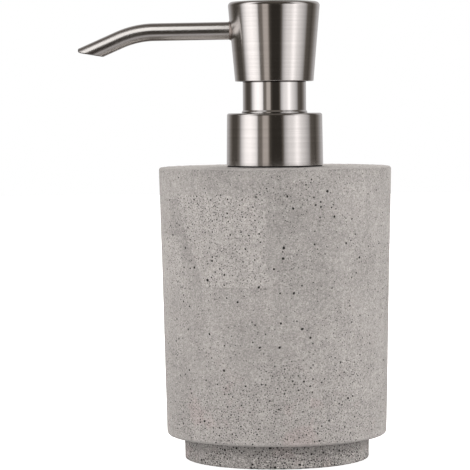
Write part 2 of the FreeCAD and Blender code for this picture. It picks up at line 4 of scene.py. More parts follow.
import bmesh
import bpy
from mathutils import Matrix, Vector, noise
from mathutils.geometry import delaunay_2d_cdt


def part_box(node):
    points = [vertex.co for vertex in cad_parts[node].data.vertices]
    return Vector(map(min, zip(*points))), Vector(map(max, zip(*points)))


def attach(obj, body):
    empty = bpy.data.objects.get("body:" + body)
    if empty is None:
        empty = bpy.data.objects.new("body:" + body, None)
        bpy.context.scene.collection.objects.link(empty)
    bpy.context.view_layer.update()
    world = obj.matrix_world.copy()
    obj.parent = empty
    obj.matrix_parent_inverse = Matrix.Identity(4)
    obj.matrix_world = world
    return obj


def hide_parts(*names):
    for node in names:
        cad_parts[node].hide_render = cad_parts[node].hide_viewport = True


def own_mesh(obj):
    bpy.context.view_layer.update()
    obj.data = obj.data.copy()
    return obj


# Soap pump dispenser: the looks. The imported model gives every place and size. Metres, +Z up,
# the spout along -X, and the camera looks along +Y.

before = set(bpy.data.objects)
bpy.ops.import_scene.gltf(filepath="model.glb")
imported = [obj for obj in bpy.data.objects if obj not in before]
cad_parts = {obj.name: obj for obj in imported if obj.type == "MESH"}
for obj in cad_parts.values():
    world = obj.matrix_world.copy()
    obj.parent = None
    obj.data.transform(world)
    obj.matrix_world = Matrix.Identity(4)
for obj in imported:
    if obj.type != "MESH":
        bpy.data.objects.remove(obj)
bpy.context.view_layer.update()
MM = 0.001
TAU = 2 * math.pi


# --- Small helpers ---
def size_of(node):
    """(radius, low z, high z) of a turned CAD node."""
    low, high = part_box(node)
    return (high.y - low.y) / 2, low.z, high.z


def lerp(a, b, t):
    return a + (b - a) * t


def grey(value, warm=0.0):
    """A colour of that brightness, a little warmer or cooler."""
    return (value * (1 + warm), value, value * (1 - warm), 1.0)


class Graph:
    """A material's node tree, with calls short enough to read."""

    def __init__(self, name):
        self.material = bpy.data.materials.new(name)
        self.material.use_nodes = True
        self.tree = self.material.node_tree
        self.shader = self.tree.nodes["Principled BSDF"]
        coords = self.tree.nodes.new("ShaderNodeTexCoord")
        self.place = coords.outputs["Object"]

    def fill(self, socket, value):
        if isinstance(value, bpy.types.NodeSocket):
            self.tree.links.new(value, socket)
        else:
            socket.default_value = value

    def node(self, kind, inputs=None, **settings):
        made = self.tree.nodes.new(kind)
        for key, value in settings.items():
            setattr(made, key, value)
        for key, value in (inputs or {}).items():
            self.fill(made.inputs[key], value)
        return made

    def math(self, operation, a, b=0.0):
        return self.node("ShaderNodeMath", {0: a, 1: b}, operation=operation).outputs[0]

    def times(self, a, b):
        return self.math("MULTIPLY", a, b)

    def plus(self, a, b):
        return self.math("ADD", a, b)

    def minus(self, a, b):
        return self.math("SUBTRACT", a, b)

    def larger(self, a, b):
        return self.math("MAXIMUM", a, b)

    def vector_math(self, operation, a, b=(0, 0, 0), output="Vector"):
        return self.node("ShaderNodeVectorMath", {0: a, 1: b}, operation=operation).outputs[output]

    def attribute(self, name, output="Fac"):
        """A value that the mesh itself carries."""
        return self.node("ShaderNodeAttribute", attribute_name=name).outputs[output]

    def stretched(self, scale):
        """The object's own coordinates, scaled along each axis."""
        made = self.node("ShaderNodeMapping", {"Vector": self.place, "Scale": scale})
        return made.outputs["Vector"]

    def noise(self, scale, detail=2.0, roughness=0.5, vector=None):
        inputs = {"Vector": vector or self.place, "Scale": scale, "Detail": detail,
                  "Roughness": roughness}
        return self.node("ShaderNodeTexNoise", inputs).outputs["Fac"]

    def remap(self, value, low, high, to_low=0.0, to_high=1.0, smooth=False):
        made = self.node(
            "ShaderNodeMapRange",
            {"Value": value, "From Min": low, "From Max": high, "To Min": to_low, "To Max": to_high},
            interpolation_type="SMOOTHSTEP" if smooth else "LINEAR",
        )
        return made.outputs["Result"]

    def mix(self, factor, a, b, blend="MIX"):
        made = self.node("ShaderNodeMix", data_type="RGBA", blend_type=blend)
        self.fill(made.inputs["Factor"], factor)
        self.fill(made.inputs[6], a)
        self.fill(made.inputs[7], b)
        return made.outputs[2]

    def shaded(self, tone, level):
        """The tone, lighter or darker by level."""
        shade = self.node("ShaderNodeCombineColor", {0: level, 1: level, 2: level}).outputs[0]
        return self.mix(1.0, tone, shade, "MULTIPLY")

    def bump(self, height, distance, strength):
        """Turns the shading normal by a height map of that distance."""
        inputs = {"Height": height, "Distance": distance, "Strength": strength}
        self.fill(self.shader.inputs["Normal"], self.node("ShaderNodeBump", inputs).outputs["Normal"])

    def axes(self):
        return self.node("ShaderNodeSeparateXYZ", {0: self.place}).outputs[:]

    def degrees_around(self, x, y):
        """Degrees from the camera's side towards +X."""
        return self.times(self.math("ARCTAN2", x, self.times(y, -1.0)), 180 / math.pi)

    def near(self, spot, reach):
        """1 at a spot, falling to 0 at reach from it."""
        away = self.vector_math("DISTANCE", self.place, spot, "Value")
        return self.remap(away, 0.0, reach, 1.0, 0.0, smooth=True)


def dress(piece, material):
    piece.data.materials.clear()
    piece.data.materials.append(material)


def linked(name, data):
    """A new object of the scene with that mesh, light or camera."""
    made = bpy.data.objects.new(name, data)
    bpy.context.scene.collection.objects.link(made)
    return made


def piece_of(name, form):
    """The finished form as a new object of the scene."""
    mesh = bpy.data.meshes.new(name)
    form.to_mesh(mesh)
    form.free()
    return linked(name, mesh)


def smooth_piece(name, form):
    bmesh.ops.recalc_face_normals(form, faces=form.faces[:])
    piece = piece_of(name, form)
    piece.data.polygons.foreach_set("use_smooth", [True] * len(piece.data.polygons))
    piece.data.update()
    return piece


def join_rings(form, rings, closed=True):
    """Quads between neighbouring rings of vertices; closed joins the last to the first as well."""
    for a, b in zip(rings, rings[1:] + rings[:1] if closed else rings[1:]):
        for i in range(len(a)):
            j = (i + 1) % len(a)
            form.faces.new((a[i], a[j], b[j], b[i]))


# --- Concrete: turned forms whose skin is triangulated round real pinholes and pits ---
SEGMENTS = 144
ROW_STEP = 1.9 * MM
# Side of the square cells that find a pit's neighbours on the unrolled skin.
CELL = 2 * MM
# Grid points keep this many radii away from a pit's centre.
CLEARANCE = 1.3
# Pits from the first size on have a step in their wall; larger ones have more corners.
STEPPED_SIZE, ROUNDER_SIZE = 0.24 * MM, 0.36 * MM
STEP_SHARE, STEP_DEPTH = 0.74, 0.8
# How clear a pit keeps of the skin's edges and of other pits, in radii, and a margin besides.
EDGE_CLEARANCE, PIT_CLEARANCE, MARGIN = 1.7, 1.15, 0.12 * MM
# How many pits are tried or made: on the body's side, on its top, and on the foot.
SIDE_PITS, TOP_PITS, FOOT_PITS = ((8200, 260, 15000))
MOST_TRIES = 200000


class Profile:
    """An outline in (radius, height), walked by its length, with the outward normal."""

    def __init__(self, points):
        self.points = [Vector(p) for p in points]
        self.starts = [0.0]
        for a, b in zip(self.points, self.points[1:]):
            self.starts.append(self.starts[-1] + (b - a).length)
        self.length = self.starts[-1]

    def at(self, distance):
        distance = min(max(distance, 0.0), self.length)
        i = 0
        while i < len(self.points) - 2 and self.starts[i + 1] < distance:
            i += 1
        a, b = self.points[i], self.points[i + 1]
        along = (b - a).normalized()
        spot = a + along * (distance - self.starts[i])
        return spot, Vector((along.y, -along.x))

    def find(self, height):
        """The distance along at which the side reaches a height."""
        steps = 800
        places = [self.length * i / steps for i in range(steps + 1)]
        on_side = [place for place in places if abs(self.at(place)[1].x) > 0.9]
        return min(on_side, key=lambda place: abs(self.at(place)[0].y - height))


def arc(centre, radius, start, end, steps):
    """Points of an arc in (radius, height), with angles in degrees."""
    return [
        (centre[0] + radius * math.cos(math.radians(lerp(start, end, i / steps))),
         centre[1] + radius * math.sin(math.radians(lerp(start, end, i / steps))))
        for i in range(steps + 1)
    ]


class Pit:
    """A hole in the skin at (across, along), in metres on the unrolled skin."""

    def __init__(self, across, along, radius, rng):
        self.centre = Vector((across, along))
        self.radius = radius
        self.depth = radius * rng.uniform(1.0, 1.6)
        self.corners = 5 if radius < STEPPED_SIZE else 8 if radius < ROUNDER_SIZE else 12
        self.stepped = radius >= STEPPED_SIZE
        self.turn = rng.uniform(0, TAU)
        self.squash = rng.uniform(0.68, 1.0)
        self.ripple = [rng.uniform(0.86, 1.1) for _ in range(self.corners)]

    def ring(self, share, narrowing):
        """Its outline at that share of its size, with narrowing to undo the unrolling's stretch."""
        made = []
        for i in range(self.corners):
            angle = TAU * i / self.corners
            reach = self.radius * share * self.ripple[i]
            x, y = reach * math.cos(angle), reach * self.squash * math.sin(angle)
            across = (x * math.cos(self.turn) - y * math.sin(self.turn)) * narrowing
            along = x * math.sin(self.turn) + y * math.cos(self.turn)
            made.append(self.centre + Vector((across, along)))
        return made


def cell_of(x, y):
    return int(x / CELL), int(y / CELL)


class PitField:
    """Pits that keep clear of each other, of the seam and of the skin's two edges."""

    def __init__(self, width, length):
        self.width, self.length = width, length
        self.pits = []
        self.cells = {}

    def add(self, pit):
        edge = pit.radius * EDGE_CLEARANCE + MARGIN
        inside_across = edge < pit.centre.x < self.width - edge
        if not (inside_across and edge < pit.centre.y < self.length - edge):
            return False
        cx, cy = cell_of(*pit.centre)
        for x in (cx - 1, cx, cx + 1):
            for y in (cy - 1, cy, cy + 1):
                for other in self.cells.get((x, y), ()):
                    apart = (other.centre - pit.centre).length
                    if apart < (other.radius + pit.radius) * PIT_CLEARANCE + MARGIN:
                        return False
        self.cells.setdefault((cx, cy), []).append(pit)
        self.pits.append(pit)
        return True


def grid_rows(skin):
    """Distances along the skin at which it gets a row of points: its corners and between them."""
    rows = [0.0]
    for start, end in zip(skin.starts, skin.starts[1:]):
        steps = max(1, round((end - start) / ROW_STEP))
        rows += [lerp(start, end, (i + 1) / steps) for i in range(steps)]
    return rows


def free_grid(skin, field, narrowing):
    """Points of the unrolled skin's grid that no pit takes; the first and last rows stay whole."""
    taken = {}
    for pit, narrow in zip(field.pits, narrowing):
        reach = pit.radius * CLEARANCE * narrow
        first_x, first_y = cell_of(pit.centre.x - reach, pit.centre.y - reach)
        last_x, last_y = cell_of(pit.centre.x + reach, pit.centre.y + reach)
        for x in range(first_x, last_x + 1):
            for y in range(first_y, last_y + 1):
                taken.setdefault((x, y), []).append((pit, narrow))

    def covers(pit, narrow, spot):
        away = spot - pit.centre
        return Vector((away.x / narrow, away.y)).length < pit.radius * CLEARANCE

    points = []
    rows = grid_rows(skin)
    for row in rows:
        whole = row in (rows[0], rows[-1])
        for i in range(SEGMENTS + 1):
            spot = Vector((field.width * i / SEGMENTS, row))
            near = taken.get(cell_of(*spot), ())
            if whole or not any(covers(pit, narrow, spot) for pit, narrow in near):
                points.append(spot)
    return points


def pitted_form(name, skin, inside, field, ref_radius, wobble):
    """A closed turned solid: skin is the pitted outer Profile, inside the outline that shuts it."""
    narrowing = [
        ref_radius / max(skin.at(pit.centre.y)[0].x, 0.2 * ref_radius) for pit in field.pits
    ]
    points = free_grid(skin, field, narrowing)
    depths = [0.0] * len(points)
    edges, rim_of, inner = [], {}, set()
    for n, (pit, narrow) in enumerate(zip(field.pits, narrowing)):
        first = len(points)
        points += pit.ring(1.0, narrow)
        depths += [0.0] * pit.corners
        rim_of.update((first + i, n) for i in range(pit.corners))
        edges += [(first + i, first + (i + 1) % pit.corners) for i in range(pit.corners)]
        first = len(points)
        if pit.stepped:
            points += pit.ring(STEP_SHARE, narrow)
            depths += [-STEP_DEPTH * pit.depth] * pit.corners
        points.append(pit.centre)
        depths.append(-pit.depth)
        inner.update(range(first, len(points)))
    flat, _, faces, origin, _, _ = delaunay_2d_cdt([p / MM for p in points], edges, [], 0, 1e-5)
    source = [o[0] if o else -1 for o in origin]

    form = bmesh.new()
    made = []
    for spot, point in zip(flat, source):
        depth = depths[point] if point >= 0 else 0.0
        (radius, height), normal = skin.at(spot.y * MM)
        angle = spot.x * MM / ref_radius % TAU
        if spot.x * MM > field.width - 1e-7:
            angle = 0.0
        around = Vector((math.cos(angle), math.sin(angle), 0))
        base = around * radius + Vector((0, 0, height))
        depth += wobble(base)
        made.append(form.verts.new(base + (around * normal.x + Vector((0, 0, normal.y))) * depth))
    hollow = form.faces.layers.int.new("hollow")
    for face in faces:
        form.faces.new([made[i] for i in face])[hollow] = int(any(source[i] in inner for i in face))
    form.verts.index_update()
    for edge in form.edges:
        a, b = (source[v.index] for v in edge.verts)
        edge.smooth = not (a in rim_of and rim_of.get(a) == rim_of.get(b))
    bmesh.ops.remove_doubles(form, verts=form.verts[:], dist=1e-6)
    close_form(form, skin, inside)
    bmesh.ops.recalc_face_normals(form, faces=form.faces[:])
    for face in form.faces:
        face.smooth = True
    pits = [float(face[hollow]) for face in form.faces]
    form.faces.layers.int.remove(hollow)
    piece = piece_of(name, form)
    piece.data.attributes.new("pit", "FLOAT", "FACE").data.foreach_set("value", pits)
    return piece


def close_form(form, skin, inside):
    """Adds the plain inner faces, from the skin's last edge round to its first."""
    loops = edge_loops([e for e in form.edges if len(e.link_faces) == 1])
    start = min(loops, key=lambda ring: loop_gap(ring, skin.points[0]))
    finish = min(loops, key=lambda ring: loop_gap(ring, skin.points[-1]))
    previous = in_order(finish)
    for radius, height in inside:
        if radius == 0:
            ring = [form.verts.new((0, 0, height))]
        else:
            ring = [form.verts.new((*(v.co.xy * radius / v.co.xy.length), height)) for v in previous]
        bridge(form, previous, ring)
        previous = ring
    bridge(form, previous, in_order(start))


def loop_gap(ring, point):
    vert = ring[0].co
    return abs(vert.xy.length - point[0]) + abs(vert.z - point[1])


def edge_loops(edges):
    """Sorts boundary edges into rings of vertices."""
    links = {}
    for edge in edges:
        a, b = edge.verts
        links.setdefault(a, []).append(b)
        links.setdefault(b, []).append(a)
    loops = []
    seen = set()
    for start in links:
        ring = []
        onward = [start]
        while onward := [v for v in onward if v not in seen]:
            ring.append(onward[0])
            seen.add(onward[0])
            onward = links[onward[0]]
        if ring:
            loops.append(ring)
    return loops


def in_order(ring):
    return sorted(ring, key=lambda v: math.atan2(v.co.y, v.co.x) % TAU)


def bridge(form, a, b):
    """Faces between two rings that have the same count of vertices, or between one and a point."""
    count = max(len(a), len(b))
    for i in range(count):
        j = (i + 1) % count
        if len(a) == 1 and len(b) == 1:
            return
        if len(b) == 1:
            form.faces.new((a[i], a[j], b[0]))
        elif len(a) == 1:
            form.faces.new((a[0], b[j], b[i]))
        else:
            form.faces.new((a[i], a[j], b[j], b[i]))


def angle_across(degrees, ref_radius):
    """Where a direction, counted from the camera's side towards +X, lies on the unrolled skin."""
    return (math.radians(degrees - 90) % TAU) * ref_radius


# A pit's hole as a share of the dark spot that it makes.
PIT_OPENING = 0.8
# The largest pits on the front, as (degrees from the front, height mm, radius mm of the dark spot).
LARGE_PITS = (
    (-55, 98, 0.40), (17, 97.5, 0.42), (25, 93.5, 0.60), (5, 92, 0.55), (8, 88, 0.60),
    (19, 89, 0.48), (29, 85, 0.55), (39, 84, 0.45), (36, 76, 0.50), (44, 71, 0.62),
    (3, 71.5, 0.58), (-2, 68, 0.48), (-33, 70.5, 0.48), (-45, 68, 0.52), (-36, 64, 0.64),
    (-29, 68, 0.42), (-27, 66, 0.50), (1, 60, 0.40), (8, 60, 0.58), (-51, 74.5, 0.48),
    (3, 75, 0.66), (-9, 62, 0.60), (18, 76, 0.42), (-20, 57, 0.52), (-61, 50, 0.42),
    (-51, 47, 0.48), (-36, 46, 0.50), (1, 50, 0.50), (12, 48, 0.66), (16, 45, 0.58),
    (-9, 42, 0.62), (0.5, 42, 0.56), (-28, 34, 0.58), (-35, 38, 0.36), (-40, 16.5, 0.60),
    (-57, 14.7, 0.48), (26, 17, 0.50), (38, 24, 0.55), (13, 30.5, 0.48), (-16, 29, 0.42),
)
# A patch where the form let go unevenly, with a slanting left side: heights in mm, degrees.
PATCH_LOW, PATCH_HIGH = 62.0, 92.0
PATCH_LEFT_LOW, PATCH_LEFT_HIGH, PATCH_RIGHT = -39.0, -58.0, -6.0
# Where pinholes crowd: (degrees, height mm, half-width degrees, half-height mm, weight).
CROWDS = (
    (-61, 70, 6, 7, 1.1), (-61, 84, 5, 8, 0.4), (4, 92, 14, 6, 0.3), (14, 66, 12, 12, 0.08),
    (2, 32, 7, 5, 1.0), (13, 32, 5, 4, 0.8), (34, 33, 9, 3, 0.9), (42, 43, 6, 5, 0.5),
    (30, 50, 8, 4, 0.3), (-4, 20, 34, 9, 0.8), (24, 16, 26, 7, 1.2), (-26, 14, 18, 6, 1.1),
    (-50, 15, 14, 7, 0.7), (44, 20, 12, 8, 0.8), (-30, 40, 20, 5, 0.15),
    (100, 70, 30, 18, 0.7), (160, 30, 34, 12, 0.9), (215, 78, 26, 14, 0.8), (262, 34, 28, 16, 0.7),
    (125, 18, 30, 8, 0.8), (185, 60, 20, 20, 0.4),
)


def crowding(degrees, height):
    """How thick the pinholes are at a place on the body's side, from 0 to 1."""
    angle = math.radians(degrees)
    place = Vector((math.sin(angle), math.cos(angle), height / 40.0))
    share = 0.05 + 0.18 * max(0.0, noise.noise(place * 3.0))
    share += 0.2 * max(0.0, noise.noise(place * 9.0))
    left = lerp(PATCH_LEFT_LOW, PATCH_LEFT_HIGH, (height - PATCH_LOW) / (PATCH_HIGH - PATCH_LOW))
    if PATCH_LOW < height < PATCH_HIGH and left < degrees < PATCH_RIGHT:
        up, leftward = max(0.0, (height - 78) / 14), max(0.0, (degrees + 15) / -30)
        share += 0.34 + 1.3 * up * leftward
    for centre, level, half_width, half_height, weight in CROWDS:
        across = ((degrees - centre + 180) % 360 - 180) / half_width
        along = (height - level) / half_height
        share += weight * math.exp(-(across * across + along * along))
    return min(1.0, share)


def concrete_wobble(amount, rims, rim_amount):
    """Small unevenness of the cast skin, stronger near the heights of its rims."""
    rim_reach = 0.9 * MM

    def offset(place):
        broad = noise.noise(place * 90) * 0.7 + noise.noise(place * 260) * 0.3
        fine = noise.noise(place * 900)
        edge = max(math.exp(-abs(place.z - rim) / rim_reach) for rim in rims)
        if place.xy.length < 0.5 * body_radius:
            edge = 0.0
        return broad * amount + fine * amount * 0.25 + edge * rim_amount * (fine - 0.25)

    return offset


body_radius, body_low, body_high = size_of("concrete_body")
BODY_LOW_MM = body_low / MM
FOOT_LOW_MM = size_of("concrete_base")[1] / MM


def make_concrete_body():
    """The body: narrower below, rounded at both rims, bored for the bottle and its neck."""
    rng = random.Random(11)
    low_radius = body_radius - 2.0 * MM
    low_round, top_round = 1.3 * MM, 0.9 * MM
    bore, neck = 29.5 * MM, 14.6 * MM
    bore_top, neck_low = 80 * MM, 94 * MM
    outline = [(bore, body_low)]
    outline += arc((low_radius - low_round, body_low + low_round), low_round, -90, 0, 4)
    outline += arc((body_radius - top_round, body_high - top_round), top_round, 0, 90, 4)
    outline += [(neck + 0.3 * MM, body_high), (neck, body_high - 0.3 * MM)]
    skin = Profile(outline)
    width = TAU * body_radius
    field = PitField(width, skin.length)
    side_low = skin.find(body_low + low_round)
    side_high = skin.find(body_high - top_round)

    def along(height_mm):
        share = (height_mm * MM - body_low - low_round) / (body_high - body_low - low_round - top_round)
        return lerp(side_low, side_high, share)

    for degrees, height, radius in LARGE_PITS:
        spot = angle_across(degrees + rng.uniform(-0.5, 0.5), body_radius)
        field.add(Pit(spot, along(height), PIT_OPENING * radius * MM, rng))
    lowest, highest = 9.5, 100.5
    for _ in range(MOST_TRIES):
        if len(field.pits) >= SIDE_PITS:
            break
        degrees = rng.uniform(-180, 180)
        height = rng.uniform(lowest, highest)
        if rng.random() > crowding(degrees, height):
            continue
        draw = rng.random()
        if draw > 0.994:
            radius = rng.uniform(0.34, 0.46)
        elif draw > 0.90:
            radius = rng.uniform(0.24, 0.34)
        else:
            radius = rng.uniform(0.16, 0.24)
        field.add(Pit(angle_across(degrees, body_radius), along(height), radius * MM, rng))
    from_edge = 3 * MM
    for _ in range(TOP_PITS):
        spot = rng.uniform(0, width)
        up = rng.uniform(side_high + from_edge, skin.length - from_edge)
        radius = rng.choice((0.16, 0.2, 0.24, 0.3, 0.42)) * MM
        field.add(Pit(spot, up, radius, rng))
    inside = [(neck, neck_low), (bore, bore_top)]
    wobble = concrete_wobble(0.045 * MM, (body_low, body_high), 0.10 * MM)
    piece = pitted_form("cast_body", skin, inside, field, body_radius, wobble)
    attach(piece, "vessel")
    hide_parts("concrete_body")
    return piece


def make_concrete_foot():
    """The foot: a shallow seat for the pad below, and the spigot that closes the body above."""
    rng = random.Random(23)
    foot_radius, foot_low, foot_high = size_of("concrete_base")
    pad_radius, _, pad_high = size_of("foot_pad")
    seat = pad_radius + 0.3 * MM
    low_round = 0.6 * MM
    spigot = 29.2 * MM
    outline = [(seat, pad_high), (seat, foot_low)]
    outline += arc((foot_radius - 0.2 * MM - low_round, foot_low + low_round), low_round, -90, 0, 3)
    low_along = Profile(outline).length
    outline += [(foot_radius, body_low), (spigot, body_low)]
    skin = Profile(outline)
    field = PitField(TAU * foot_radius, skin.length)
    high_along = skin.starts[-2]
    for _ in range(FOOT_PITS):
        degrees = rng.uniform(-180, 180)
        along = rng.uniform(low_along - 0.5 * MM, high_along)
        angle = math.radians(degrees)
        crowd = 0.42 + 1.4 * noise.noise(Vector((math.sin(angle), math.cos(angle), along * 60)) * 4)
        if rng.random() > crowd:
            continue
        radius = rng.uniform(0.18, 0.34) if rng.random() < 0.88 else rng.uniform(0.34, 0.54)
        field.add(Pit(angle_across(degrees, foot_radius), along, radius * MM, rng))
    inside = [(spigot, foot_high), (0, foot_high), (0, pad_high)]
    wobble = concrete_wobble(0.03 * MM, (foot_low,), 0.05 * MM)
    piece = pitted_form("cast_foot", skin, inside, field, foot_radius, wobble)
    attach(piece, "vessel")
    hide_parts("concrete_base")
    return piece


def angle_and_height(g):
    """Degrees from the camera's side towards +X, and height in mm, of the shaded point."""
    x, y, z = g.axes()
    return g.degrees_around(x, y), g.times(z, 1 / MM)


def between(g, value, low, high, soft):
    """1 between low and high, falling to 0 over soft beyond each; low may be a socket."""
    rise = g.remap(g.minus(value, low), -soft, 0.0, smooth=True)
    return g.times(rise, g.remap(value, high, high + soft, 1.0, 0.0, smooth=True))


# Paler and darker clouds in the skin: (degrees, height mm, half-width, half-height, weight).
CLOUDS = (
    (10, 80, 14, 20, -0.5), (40, 36, 18, 22, 0.3), (-17, 45, 13, 11, -0.4), (-48, 32, 16, 20, -0.6),
    (-24, 98, 30, 5, -0.7), (-36, 98, 14, 6, -0.5), (-1, 96, 7, 7, -0.9), (13, 98, 8, 6, 0.5),
    (-1, 75, 6, 12, -0.8), (-17, 13, 8, 5, 0.8), (60, 98, 12, 8, -0.5),
    (14, 17, 24, 7, 0.3), (24, 77, 9, 13, -0.7), (48, 84, 12, 14, 0.3), (1, 28, 9, 9, -0.35),
    (95, 74, 22, 16, 0.5), (128, 36, 20, 16, -0.45), (170, 66, 24, 18, 0.45), (-150, 30, 22, 14, 0.4),
    (-112, 70, 18, 20, -0.4), (-100, 26, 16, 12, 0.35),
)


def lift_marks(g):
    """(shade, patch): paler skin where the form let go unevenly, a slanting patch and a strip, with a
    painted highlight on the patch's lower ridge and a painted shadow line under it.
    """
    around, height = angle_and_height(g)
    shake = g.noise(260, 3.0, 0.6)
    around = g.plus(around, g.remap(shake, 0.3, 0.7, -0.7, 0.7))
    height = g.plus(height, g.remap(shake, 0.3, 0.7, -0.25, 0.25))
    slant = g.remap(height, PATCH_LOW, PATCH_HIGH, PATCH_LEFT_LOW, PATCH_LEFT_HIGH)

    def block(value, left, right, soft, low, high, edge):
        """1 in a block of the skin, given in degrees and in mm of height."""
        return g.times(between(g, value, left, right, soft), between(g, height, low, high, edge))

    patch = block(around, slant, PATCH_RIGHT, 0.7, PATCH_LOW, PATCH_HIGH, 0.3)
    strip = block(around, -84.0, -54.5, 0.8, 62.0, 78.0, 0.6)
    gap = block(g.minus(around, slant), -9.0, -0.6, 0.8, 62.0, 90.0, 2.0)
    # A painted highlight along the ridge at the patch's lower edge, and a painted shadow line just
    # below it.
    ridge_highlight = block(around, -39.0, -5.0, 1.5, 62.1, 63.0, 0.4)
    step_shadow = block(around, -39.0, -5.0, 1.5, 61.4, 61.7, 0.25)
    marks = g.larger(patch, g.times(strip, 1.2))
    for mark, weight in ((ridge_highlight, 0.6), (step_shadow, -0.9), (gap, -0.6)):
        marks = g.plus(marks, g.times(mark, weight))
    for degrees, level, half_width, half_height, weight in CLOUDS:
        across = g.times(g.minus(around, degrees), 1 / half_width)
        along = g.times(g.minus(height, level), 1 / half_height)
        reach = g.plus(g.times(across, across), g.times(along, along))
        marks = g.plus(marks, g.remap(reach, 0.0, 1.6, weight, 0.0, smooth=True))
    return marks, g.larger(patch, strip)


# Painted shade that the skin darkens to inside its pits and in its painted pinholes.
PIT_SHADE, PINHOLE_SHADE = (0.03, 0.027, 0.025, 1), (0.07, 0.064, 0.058, 1)
# Painted shade at edges: along the body's lower rim, a painted shadow on the foot under the body's
# overhang, and a contact line along the foot's bottom; as (from mm of height, to mm of height, amount
# at the first, at the second, colour).
SHADE, CONTACT_SHADE = (0.09, 0.084, 0.08, 1), (0.06, 0.056, 0.053, 1)
BODY_EDGE_SHADE = (
    (BODY_LOW_MM + 0.1, BODY_LOW_MM + 1.2, 0.7, 0.0, SHADE),
)
FOOT_EDGE_SHADE = (
    (BODY_LOW_MM - 6.0, BODY_LOW_MM - 0.2, 0.0, 0.7, SHADE),
    (FOOT_LOW_MM + 0.25, FOOT_LOW_MM + 0.6, 0.55, 0.0, CONTACT_SHADE),
)


def concrete(name, tone, speck, marked, edges):
    """Fair-faced cast concrete: clouds, wiped streaks, grit, a rosy bloom low down, pinholes, with
    painted shade in the pits and pinholes and along the given edges.
    """
    g = Graph(name)
    shades = (
        (g.noise(19, 2.0, 0.5), 0.025),
        (g.noise(58, 3.0, 0.6), 0.05),
        (g.noise(170, 3.0, 0.6), 0.045),
        (g.noise(1.0, 3.0, 0.6, g.stretched((330, 330, 40))), 0.05),
        (g.noise(1.0, 3.0, 0.6, g.stretched((36, 36, 420))), 0.03),
        (g.noise(700, 3.0, 0.65), speck * 0.8),
        (g.noise(2900, 1.0, 0.6), speck * 1.9),
        (g.noise(1500, 2.0, 0.6), speck * 1.2),
    )
    level = 1.0
    for value, reach in shades:
        level = g.times(level, g.remap(value, 0.32, 0.68, 1 - reach, 1 + reach))
    sand, grit = shades[-2][0], shades[-1][0]
    crowd = g.remap(g.noise(130, 3.0, 0.6), 0.5, 0.64, 0.15, 1.0, smooth=True)
    if marked:
        marks, patch = lift_marks(g)
        level = g.times(level, g.remap(marks, -1.0, 1.4, 0.90, 1.134))
        crowd = g.larger(crowd, g.times(patch, 0.7))
    bloom_place = g.remap(g.noise(75, 3.0, 0.6), 0.52, 0.64, smooth=True)
    _, height = angle_and_height(g)
    low_down = g.remap(height, 22.0, 45.0, 1.0, 0.10, smooth=True)
    bloom = g.times(g.times(bloom_place, low_down), 0.75)
    base = g.mix(bloom, tone, (tone[0] * 1.04, tone[1] * 0.965, tone[2] * 0.97, 1))
    colour = g.shaded(base, level)
    # Painted pinholes: dark spots of painted shade, with a dent in the bump.
    holes = g.node("ShaderNodeTexVoronoi", {"Vector": g.place, "Scale": 1050, "Randomness": 1.0})
    hole = g.remap(holes.outputs["Distance"], 0.13, 0.24, 1.0, 0.0, smooth=True)
    hole = g.times(hole, crowd)
    colour = g.mix(g.times(hole, 0.85), colour, PINHOLE_SHADE)
    # Painted shade along the given edges: under the body's lower rim, on the foot under the overhang,
    # and the foot's contact line.
    for low, high, at_low, at_high, shade_colour in edges:
        colour = g.mix(g.remap(height, low, high, at_low, at_high), colour, shade_colour)
    # Painted shade on the faces inside the pits.
    colour = g.mix(g.times(g.attribute("pit"), 0.94), colour, PIT_SHADE)
    g.fill(g.shader.inputs["Base Color"], colour)
    g.fill(g.shader.inputs["Roughness"], g.remap(sand, 0.3, 0.7, 0.78, 0.94))
    g.shader.inputs["Specular IOR Level"].default_value = 0.35
    relief = g.minus(g.plus(g.times(grit, 0.5), sand), g.times(hole, 1.6))
    g.bump(relief, 0.07 * MM, 0.7)
    return g.material


# --- Steel ---
# Painted shade that steel darkens to: in narrow gaps, in a thin shadow line under a rim, and along the
# spout's cut edge.
GAP_SHADE, RIM_SHADOW, CUT_EDGE_SHADE = (
    (0.03, 0.026, 0.023, 1), (0.05, 0.042, 0.038, 1), (0.06, 0.052, 0.046, 1),
)


def bare_metal(g, colour, rough, grain, anisotropic, turn):
    """Fills in the shader as metal; anisotropic metal is brushed round the dispenser's axis."""
    g.fill(g.shader.inputs["Base Color"], colour)
    g.fill(g.shader.inputs["Roughness"], rough)
    g.shader.inputs["Metallic"].default_value = 1.0
    g.shader.inputs["Anisotropic"].default_value = anisotropic
    g.shader.inputs["Anisotropic Rotation"].default_value = turn
    if anisotropic:
        tangent = g.node("ShaderNodeTangent", direction_type="RADIAL", axis="Z").outputs[0]
        g.fill(g.shader.inputs["Tangent"], tangent)
    g.bump(grain, 0.004 * MM, 0.5)
    return g.material


